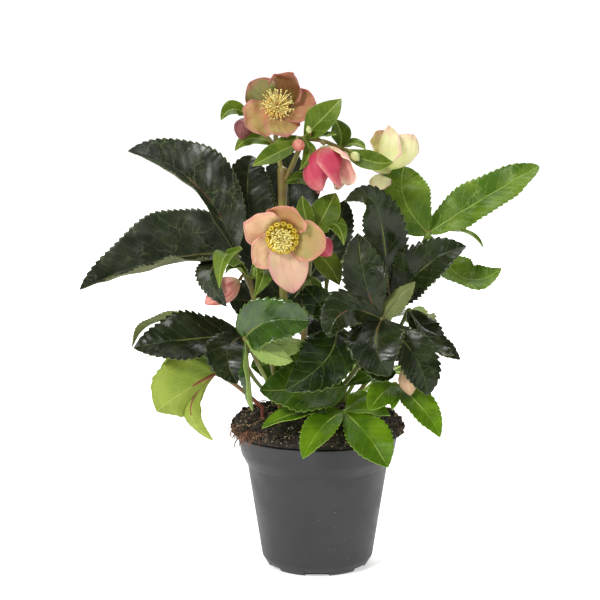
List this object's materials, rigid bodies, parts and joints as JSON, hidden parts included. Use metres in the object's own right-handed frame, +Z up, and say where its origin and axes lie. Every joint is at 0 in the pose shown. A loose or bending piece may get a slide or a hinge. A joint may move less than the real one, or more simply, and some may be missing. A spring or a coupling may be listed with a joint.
{
  "type": "potted hellebore plant",
  "caption": "Flowering hellebore in a round nursery pot: leathery saw-edged leaves in groups of leaflets, leafy flower stems, open and nodding cupped blooms, and buds.",
  "frame": {"origin": "centre of the pot's foot, on the surface the pot stands on", "axes": "+Z up along the pot's axis and the plant's height; -Y towards the plant's front, where the open blooms look"},
  "size_m": [0.3666, 0.2308, 0.4001],
  "materials": {
    "pot": "satin",
    "peat": "matte",
    "leaf_dark": "satin",
    "leaf_mid": "satin",
    "leaf_bright": "satin",
    "leaf_pale": "matte",
    "stem": "satin",
    "sepal_dusky": "matte",
    "sepal_peach": "matte",
    "sepal_pink": "matte",
    "sepal_cream": "matte",
    "stamen": "matte",
    "nectary": "satin",
    "bud_red": "satin",
    "bud_peach": "satin",
    "bud_green": "satin"
  },
  "bodies": {
    "root": {"pot": "pot", "peat": "peat", "leaf_west_high": "leaf_dark", "leaf_centre_back": "leaf_dark", "leaf_west_low": "leaf_dark", "leaf_west_pale": "leaf_pale", "leaf_front_mid": "leaf_mid", "leaf_front_dark": "leaf_dark", "leaf_front_low": "leaf_mid", "leaf_rim_front": "leaf_bright", "leaf_east_arch": "leaf_dark", "leaf_east_mid": "leaf_dark", "leaf_east_bright": "leaf_bright", "leaf_east_back": "leaf_dark", "leaf_east_low": "leaf_bright", "leaf_back_west": "leaf_dark", "leaf_back": "leaf_dark", "leaf_back_east": "leaf_mid", "leaf_back_low": "leaf_bright", "leaf_back_low_west": "leaf_mid", "stem_tall": "stem", "stem_short": "stem", "stem_west": "stem", "stem_east_low": "stem", "bloom_top_sepals": "sepal_dusky", "bloom_top_stamens": "stamen", "bloom_top_nectaries": "nectary", "bloom_front_sepals": "sepal_peach", "bloom_front_stamens": "stamen", "bloom_front_nectaries": "nectary", "bloom_nodding_sepals": "sepal_pink", "bloom_nodding_stamens": "stamen", "bloom_cream_sepals": "sepal_cream", "bloom_cream_stamens": "stamen", "bud_top_west": "bud_red", "bud_round": "bud_peach", "bud_east": "bud_green", "bud_tip": "bud_peach", "bud_red": "bud_red", "bud_west": "bud_peach", "bud_east_low": "bud_peach"}
  },
  "joints": []
}
